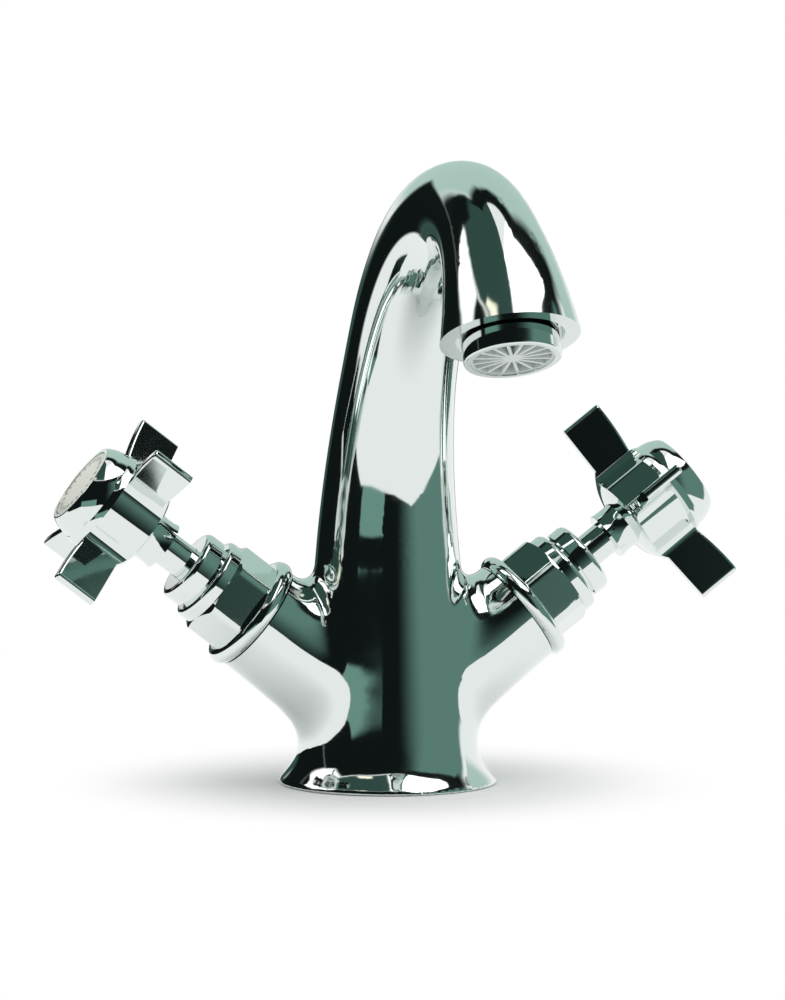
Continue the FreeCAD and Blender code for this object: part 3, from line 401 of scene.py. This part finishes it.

# Index discs
# Cream vitreous enamel fired on a thin copper blank and glued into the cap. A ring of plain dark ticks is fired
# into the enamel round its edge, and the colour is made a little darker towards the disc's rim.


def enamel(name, centre, tilt, radius, middle, edge):
    """Glossy enamel that darkens towards the disc's rim. centre and tilt place the disc on its valve."""
    material, nodes, links, shader = blank(name)
    place = nodes.new("ShaderNodeTexCoord")
    onto_disc = nodes.new("ShaderNodeMapping")
    onto_disc.vector_type = "TEXTURE"
    onto_disc.inputs["Location"].default_value = centre
    onto_disc.inputs["Rotation"].default_value = (0.0, tilt, 0.0)
    links.new(place.outputs["Object"], onto_disc.inputs["Vector"])
    flat = nodes.new("ShaderNodeVectorMath")
    flat.operation = "MULTIPLY"
    flat.inputs[1].default_value = (1.0, 1.0, 0.0)
    links.new(onto_disc.outputs["Vector"], flat.inputs[0])
    reach = nodes.new("ShaderNodeVectorMath")
    reach.operation = "LENGTH"
    links.new(flat.outputs["Vector"], reach.inputs[0])
    # the colour darkens from the middle of the disc out towards its rim
    rim_darkening = nodes.new("ShaderNodeMapRange")
    rim_darkening.interpolation_type = "SMOOTHSTEP"
    clear_share = 0.55
    rim_darkening.inputs["From Min"].default_value = radius * clear_share
    rim_darkening.inputs["From Max"].default_value = radius
    links.new(reach.outputs["Value"], rim_darkening.inputs["Value"])
    mottle = nodes.new("ShaderNodeTexNoise")
    mottle.inputs["Scale"].default_value = 700.0
    mottle.inputs["Detail"].default_value = 4.0
    links.new(place.outputs["Object"], mottle.inputs["Vector"])
    mottled = nodes.new("ShaderNodeMath")
    mottled.operation = "MULTIPLY_ADD"
    mottle_share = 0.25
    mottled.inputs[1].default_value = mottle_share
    links.new(mottle.outputs["Fac"], mottled.inputs[0])
    links.new(rim_darkening.outputs["Result"], mottled.inputs[2])
    shade = nodes.new("ShaderNodeValToRGB")
    shade.color_ramp.elements[0].color = (*middle, 1.0)
    shade.color_ramp.elements[1].color = (*edge, 1.0)
    links.new(mottled.outputs["Value"], shade.inputs["Fac"])
    links.new(shade.outputs["Color"], shader.inputs["Base Color"])
    shader.inputs["Roughness"].default_value = 0.12
    shader.inputs["Coat Weight"].default_value = 0.6
    shader.inputs["Coat Roughness"].default_value = 0.05
    return material


disc_distance = 0.09825
disc_radius = 0.00945
cream = (0.76, 0.78, 0.62)
# the darker colour given to the disc towards its rim
rim_cream = (0.55, 0.58, 0.43)
tick_ring_share = 0.8
tick_length = 0.0012
tick_width = 0.00035
tick_proud = 0.00003
tick_count = 24
TICK_ENAMEL = moulded("tick enamel", light=(0.05, 0.06, 0.05), dark=(0.02, 0.025, 0.022), roughness=0.2,
                      grain=900.0, skin=0.000002)
for valve, side in SIDES.items():
    disc_centre = valve_root + disc_distance * Vector((side * math.cos(valve_tilt), 0.0, math.sin(valve_tilt)))
    disc_lean = side * (math.pi / 2 - valve_tilt)
    glaze = enamel(f"{valve} index enamel", disc_centre, disc_lean, disc_radius, cream, rim_cream)
    dress(f"{valve}_index_disc", glaze)
    shape = bmesh.new()
    bmesh.ops.create_cube(shape, size=1.0)
    bmesh.ops.scale(shape, vec=(tick_length, tick_width, 2 * tick_proud), verts=shape.verts)
    bmesh.ops.bevel(shape, geom=shape.edges[:], offset=tick_proud / 2, affect="EDGES", segments=1, profile=0.5,
                    material=-1)
    bmesh.ops.translate(shape, vec=(disc_radius * tick_ring_share, 0.0, 0.0), verts=shape.verts)
    step = 2 * math.pi / tick_count
    bmesh.ops.spin(shape, geom=shape.verts[:] + shape.edges[:] + shape.faces[:], cent=(0, 0, 0), axis=(0, 0, 1),
                   angle=2 * math.pi - step, steps=tick_count - 1, use_duplicate=True)
    onto_valve = Matrix.Translation(disc_centre) @ Matrix.Rotation(disc_lean, 4, "Y")
    bmesh.ops.transform(shape, matrix=onto_valve, verts=shape.verts)
    bmesh.ops.recalc_face_normals(shape, faces=shape.faces)
    ticks = built(shape, f"{valve}_index_ticks")
    ticks.data.materials.append(TICK_ENAMEL)
    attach(ticks, f"{valve}_handle_set")

# Table
# A square white table top under the tap, which the plating mirrors as far as the table's rounded-off edge.
table_reach = 0.314
table_turn = math.radians(-20.5)
table_edge = 0.016
shadow_start = 0.03
shadow_end = 0.085


def shown_rays(nodes, links):
    """1 on rays from the camera, straight or by way of a mirror or glass, and 0 on rays that only bring light."""
    seen = nodes.new("ShaderNodeLightPath")
    mirrored = nodes.new("ShaderNodeMath")
    mirrored.operation = "MAXIMUM"
    links.new(seen.outputs["Is Camera Ray"], mirrored.inputs[0])
    links.new(seen.outputs["Is Glossy Ray"], mirrored.inputs[1])
    shown = nodes.new("ShaderNodeMath")
    shown.operation = "MAXIMUM"
    links.new(mirrored.outputs["Value"], shown.inputs[0])
    links.new(seen.outputs["Is Transmission Ray"], shown.inputs[1])
    return shown.outputs["Value"]


def table_top():
    """Matt white that keeps the tap's shadow, and turns to the tent's white away from it."""
    material, nodes, links, shader = blank("white table")
    shader.inputs["Base Color"].default_value = (0.93, 0.94, 0.935, 1.0)
    shader.inputs["Roughness"].default_value = 0.9
    shader.inputs["Specular IOR Level"].default_value = 0.1
    white = nodes.new("ShaderNodeEmission")
    white.inputs["Color"].default_value = (1.0, 1.0, 1.0, 1.0)
    place = nodes.new("ShaderNodeTexCoord")
    reach = nodes.new("ShaderNodeVectorMath")
    reach.operation = "LENGTH"
    links.new(place.outputs["Object"], reach.inputs[0])
    away = nodes.new("ShaderNodeMapRange")
    away.interpolation_type = "SMOOTHSTEP"
    away.inputs["From Min"].default_value = shadow_start
    away.inputs["From Max"].default_value = shadow_end
    links.new(reach.outputs["Value"], away.inputs["Value"])
    fade = nodes.new("ShaderNodeMath")
    fade.operation = "MULTIPLY"
    links.new(away.outputs["Result"], fade.inputs[0])
    links.new(shown_rays(nodes, links), fade.inputs[1])
    top = nodes.new("ShaderNodeMixShader")
    links.new(fade.outputs["Value"], top.inputs["Fac"])
    links.new(shader.outputs["BSDF"], top.inputs[1])
    links.new(white.outputs["Emission"], top.inputs[2])
    squared = nodes.new("ShaderNodeMapping")
    squared.inputs["Rotation"].default_value = (0.0, 0.0, -table_turn)
    links.new(place.outputs["Object"], squared.inputs["Vector"])
    sideways = nodes.new("ShaderNodeVectorMath")
    sideways.operation = "ABSOLUTE"
    links.new(squared.outputs["Vector"], sideways.inputs[0])
    sides = nodes.new("ShaderNodeSeparateXYZ")
    links.new(sideways.outputs["Vector"], sides.inputs["Vector"])
    outer = nodes.new("ShaderNodeMath")
    outer.operation = "MAXIMUM"
    links.new(sides.outputs["X"], outer.inputs[0])
    links.new(sides.outputs["Y"], outer.inputs[1])
    edge = nodes.new("ShaderNodeMapRange")
    edge.interpolation_type = "SMOOTHSTEP"
    edge.inputs["From Min"].default_value = table_reach - table_edge
    edge.inputs["From Max"].default_value = table_reach
    links.new(outer.outputs["Value"], edge.inputs["Value"])
    gone = nodes.new("ShaderNodeBsdfTransparent")
    mix = nodes.new("ShaderNodeMixShader")
    links.new(edge.outputs["Result"], mix.inputs["Fac"])
    links.new(top.outputs["Shader"], mix.inputs[1])
    links.new(gone.outputs["BSDF"], mix.inputs[2])
    links.new(mix.outputs["Shader"], nodes["Material Output"].inputs["Surface"])
    return material


shape = bmesh.new()
table_set = Matrix.Rotation(table_turn, 4, "Z")
bmesh.ops.create_grid(shape, x_segments=1, y_segments=1, size=table_reach, matrix=table_set)
table = built(shape, "table")
table.data.materials.append(table_top())

# Studio
# A white tent with one soft lamp high on the right. Dark cards and two bright ones stand round the tap, out of the
# camera's sight, and the plating mirrors them as the bands that give polished chrome its shape.
tent = bpy.data.worlds.new("white tent")
bpy.context.scene.world = tent
tent.use_nodes = True
nodes, links = tent.node_tree.nodes, tent.node_tree.links
background = nodes["Background"]
background.inputs["Color"].default_value = (1.0, 1.0, 1.0, 1.0)
strength = nodes.new("ShaderNodeMapRange")
strength.inputs["To Min"].default_value = 0.7
strength.inputs["To Max"].default_value = 1.0
links.new(shown_rays(nodes, links), strength.inputs["Value"])
links.new(strength.outputs["Result"], background.inputs["Strength"])

studio_centre = Vector((0.0, 0.0, 0.07))


def heading_to(bearing, rise):
    """The direction at a bearing from the front and a rise above the level, both in degrees."""
    turned = Matrix.Rotation(math.radians(bearing), 3, "Z") @ Matrix.Rotation(math.radians(-rise), 3, "X")
    return turned @ Vector((0.0, -1.0, 0.0))


def card(name, distance, left, right, low, high, colour, soft):
    """A bent card round the tap, seen in the plating but not by the camera.

    left and right are bearings from the front, low and high are elevations, and soft is how far each of these
    four edges fades out inwards, all in degrees.
    """
    rows = 24
    columns = 48
    shape = bmesh.new()
    shape.verts.new(distance * heading_to(left, low))
    across = Matrix.Rotation(math.radians(left), 3, "Z") @ Vector((1.0, 0.0, 0.0))
    bmesh.ops.spin(shape, geom=shape.verts[:], cent=(0, 0, 0), axis=across,
                   angle=math.radians(low - high), steps=rows)
    bmesh.ops.spin(shape, geom=shape.verts[:] + shape.edges[:], cent=(0, 0, 0), axis=(0, 0, 1),
                   angle=math.radians(right - left), steps=columns)
    bmesh.ops.remove_doubles(shape, verts=shape.verts, dist=0.0001)
    bmesh.ops.translate(shape, vec=studio_centre, verts=shape.verts)
    made = built(shape, name)
    material, nodes, links, shader = blank(name)
    nodes.remove(shader)
    place = nodes.new("ShaderNodeTexCoord")
    about = nodes.new("ShaderNodeMapping")
    about.inputs["Location"].default_value = -studio_centre
    links.new(place.outputs["Object"], about.inputs["Vector"])
    heading = nodes.new("ShaderNodeVectorMath")
    heading.operation = "NORMALIZE"
    links.new(about.outputs["Vector"], heading.inputs[0])
    parts = nodes.new("ShaderNodeSeparateXYZ")
    links.new(heading.outputs["Vector"], parts.inputs["Vector"])
    forwards = nodes.new("ShaderNodeMath")
    forwards.operation = "MULTIPLY"
    forwards.inputs[1].default_value = -1.0
    links.new(parts.outputs["Y"], forwards.inputs[0])
    turn = nodes.new("ShaderNodeMath")
    turn.operation = "ARCTAN2"
    links.new(parts.outputs["X"], turn.inputs[0])
    links.new(forwards.outputs["Value"], turn.inputs[1])
    lift = nodes.new("ShaderNodeMath")
    lift.operation = "ARCSINE"
    links.new(parts.outputs["Z"], lift.inputs[0])
    cover = None
    for angle, edge, fade in ((turn, left, soft[0]), (turn, right, -soft[1]), (lift, low, soft[2]),
                              (lift, high, -soft[3])):
        if not fade:
            continue
        ramp = nodes.new("ShaderNodeMapRange")
        ramp.interpolation_type = "SMOOTHSTEP"
        ramp.inputs["From Min"].default_value = math.radians(edge)
        ramp.inputs["From Max"].default_value = math.radians(edge + fade)
        links.new(angle.outputs["Value"], ramp.inputs["Value"])
        if cover is None:
            cover = ramp.outputs["Result"]
            continue
        both = nodes.new("ShaderNodeMath")
        both.operation = "MULTIPLY"
        links.new(cover, both.inputs[0])
        links.new(ramp.outputs["Result"], both.inputs[1])
        cover = both.outputs["Value"]
    glow = nodes.new("ShaderNodeEmission")
    glow.inputs["Color"].default_value = (*colour, 1.0)
    gone = nodes.new("ShaderNodeBsdfTransparent")
    mix = nodes.new("ShaderNodeMixShader")
    links.new(cover, mix.inputs["Fac"])
    links.new(gone.outputs["BSDF"], mix.inputs[1])
    links.new(glow.outputs["Emission"], mix.inputs[2])
    links.new(mix.outputs["Shader"], nodes["Material Output"].inputs["Surface"])
    made.data.materials.append(material)
    made.visible_camera = False
    made.visible_diffuse = False
    made.visible_shadow = False


black = (0.006, 0.009, 0.009)
deep_teal = (0.036, 0.078, 0.067)
mid_teal = (0.125, 0.24, 0.21)
gap_teal = (0.17, 0.32, 0.275)
pale_teal = (0.5, 0.66, 0.6)
window_white = (1.5, 1.5, 1.45)
slit_cream = (1.3, 1.25, 1.0)
card("front card", 1.0, -10, 96, -20, 42, mid_teal, (0, 8, 0, 0))
card("left flag", 0.985, -104, 38, -20, 47, black, (6, 40, 0, 2))
card("front gap card", 0.97, -63, -22, -20, 2, gap_teal, (2, 1, 0, 2.5))
card("far left flag", 0.98, -170, -98, -14, 30, black, (5, 4, 3, 4))
card("dark band card", 0.975, -6, 94, 36, 48, black, (6, 6, 5, 1.5))
card("ceiling card", 1.0, -152, -4, 46, 90, deep_teal, (6, 8, 3, 0))
card("left frame card", 0.99, -154, -124, 22, 62, black, (8, 4, 8, 8))
card("back left card", 0.985, -180, -146, 8, 72, pale_teal, (0, 10, 8, 6))
card("back left rim card", 0.975, -180, -140, 58, 76, black, (0, 4, 7, 2))
card("ceiling back card", 0.995, -180, -146, 72, 90, deep_teal, (0, 0, 2, 0))
card("right frame card", 0.985, 80, 124, 28, 74, black, (5, 18, 10, 2))
card("back rim card", 0.98, 92, 180, 60, 76, black, (8, 0, 7, 2))
card("back right card", 1.0, 100, 180, 4, 73, pale_teal, (0, 0, 14, 0))
card("back flag", 0.975, 146, 180, -16, 10, deep_teal, (12, 0, 0, 6))
card("back left flag", 0.97, -180, -160, -16, 10, deep_teal, (0, 8, 0, 6))
card("window card", 0.96, -128, -84, 28, 47, window_white, (2, 8, 3, 2))
card("slit card", 0.96, -68, -38, 48, 54, slit_cream, (5, 8, 1, 3))

lamp = bpy.data.lights.new("soft box", "AREA")
lamp.shape = "RECTANGLE"
lamp.size = 1.2
lamp.size_y = 0.75
lamp.energy = 3.2
soft_box = bpy.data.objects.new("soft box", lamp)
lamp_distance = 0.95
towards_lamp = heading_to(46, 62)
soft_box.location = studio_centre + lamp_distance * towards_lamp
soft_box.rotation_euler = towards_lamp.to_track_quat("Z", "Y").to_euler()
bpy.context.scene.collection.objects.link(soft_box)
soft_box.visible_camera = False

# Camera
# A long lens from the front left, a little above the spindles.
lens = bpy.data.cameras.new("camera")
lens.sensor_fit = "VERTICAL"
lens.sensor_height = 36.0
lens.lens = 159.9
lens.clip_end = 10.0
camera = bpy.data.objects.new("camera", lens)
aim = Vector((0.00128, 0.0, 0.07086))
camera_distance = 1.1094
towards_camera = heading_to(-14.85, 4.06)
camera.location = aim + camera_distance * towards_camera
camera.rotation_euler = towards_camera.to_track_quat("Z", "Y").to_euler()
bpy.context.scene.collection.objects.link(camera)
bpy.context.scene.camera = camera
bpy.context.scene.view_settings.view_transform = "Standard"
